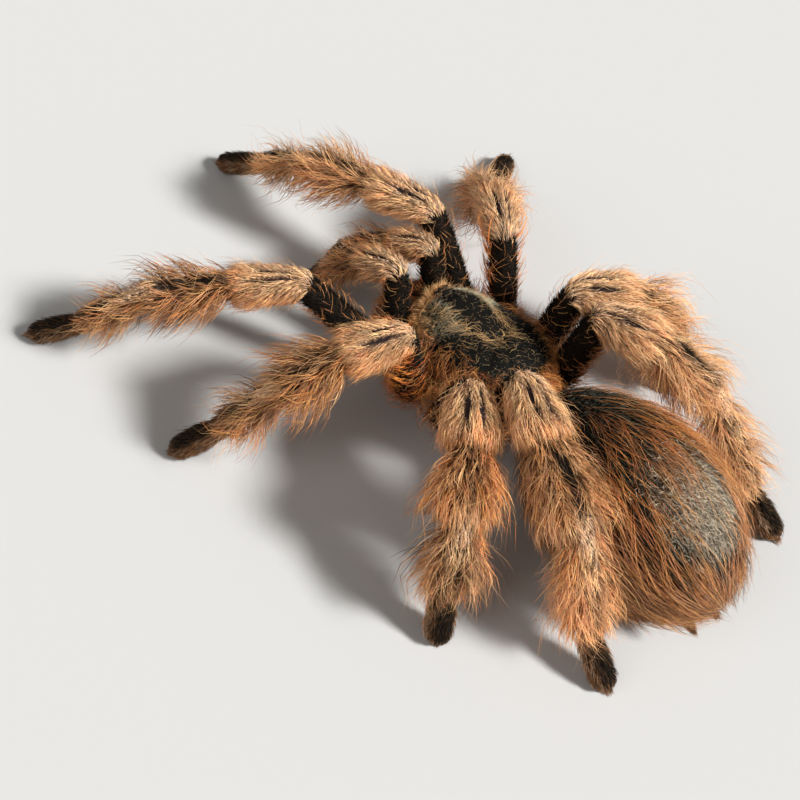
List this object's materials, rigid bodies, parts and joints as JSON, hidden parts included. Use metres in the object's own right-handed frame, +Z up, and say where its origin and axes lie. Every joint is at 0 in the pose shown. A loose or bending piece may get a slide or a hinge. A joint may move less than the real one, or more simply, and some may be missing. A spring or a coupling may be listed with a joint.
{
  "type": "tarantula model",
  "caption": "Life-size model of a heavy, long-haired ground tarantula standing still with its legs spread, its abdomen resting on the ground.",
  "frame": {"origin": "on the floor, under the middle of the whole spider's bounding box", "axes": "+Z up from the floor, -Y the way the head points, +X the spider's own left"},
  "size_m": [0.1092, 0.135, 0.0366],
  "materials": {
    "black_velvet": "short dense black hair",
    "black_lens": "glossy",
    "dark_fang": "glossy",
    "tan_hair": "long tan hair",
    "cream_hair": "short cream hair",
    "brown_hair": "short brown hair",
    "rust_hair": "long rust hair over black"
  },
  "bodies": {
    "root": {"carapace": "black_velvet", "ocular_tubercle": "black_lens", "pedicel": "brown_hair", "fang_left": "dark_fang", "chelicera_left": "brown_hair", "fang_right": "dark_fang", "chelicera_right": "brown_hair", "sternum_and_coxae": "brown_hair", "palp_left_femur": "black_velvet", "palp_left_patella": "cream_hair", "palp_left_tibia": "tan_hair", "palp_left_tarsus": "brown_hair", "leg_left_1_femur": "black_velvet", "leg_left_1_patella": "cream_hair", "leg_left_1_tibia": "tan_hair", "leg_left_1_metatarsus": "tan_hair", "leg_left_1_tarsus": "brown_hair", "leg_left_2_femur": "black_velvet", "leg_left_2_patella": "cream_hair", "leg_left_2_tibia": "tan_hair", "leg_left_2_metatarsus": "tan_hair", "leg_left_2_tarsus": "brown_hair", "leg_left_3_femur": "black_velvet", "leg_left_3_patella": "cream_hair", "leg_left_3_tibia": "tan_hair", "leg_left_3_metatarsus": "tan_hair", "leg_left_3_tarsus": "brown_hair", "leg_left_4_femur": "black_velvet", "leg_left_4_patella": "cream_hair", "leg_left_4_tibia": "tan_hair", "leg_left_4_metatarsus": "tan_hair", "leg_left_4_tarsus": "brown_hair", "palp_right_femur": "black_velvet", "palp_right_patella": "cream_hair", "palp_right_tibia": "tan_hair", "palp_right_tarsus": "brown_hair", "leg_right_1_femur": "black_velvet", "leg_right_1_patella": "cream_hair", "leg_right_1_tibia": "tan_hair", "leg_right_1_metatarsus": "tan_hair", "leg_right_1_tarsus": "brown_hair", "leg_right_2_femur": "black_velvet", "leg_right_2_patella": "cream_hair", "leg_right_2_tibia": "tan_hair", "leg_right_2_metatarsus": "tan_hair", "leg_right_2_tarsus": "brown_hair", "leg_right_3_femur": "black_velvet", "leg_right_3_patella": "cream_hair", "leg_right_3_tibia": "tan_hair", "leg_right_3_metatarsus": "tan_hair", "leg_right_3_tarsus": "brown_hair", "leg_right_4_femur": "black_velvet", "leg_right_4_patella": "cream_hair", "leg_right_4_tibia": "tan_hair", "leg_right_4_metatarsus": "tan_hair", "leg_right_4_tarsus": "brown_hair", "spinneret_left": "brown_hair", "spinneret_right": "brown_hair", "abdomen": "rust_hair"}
  },
  "joints": []
}
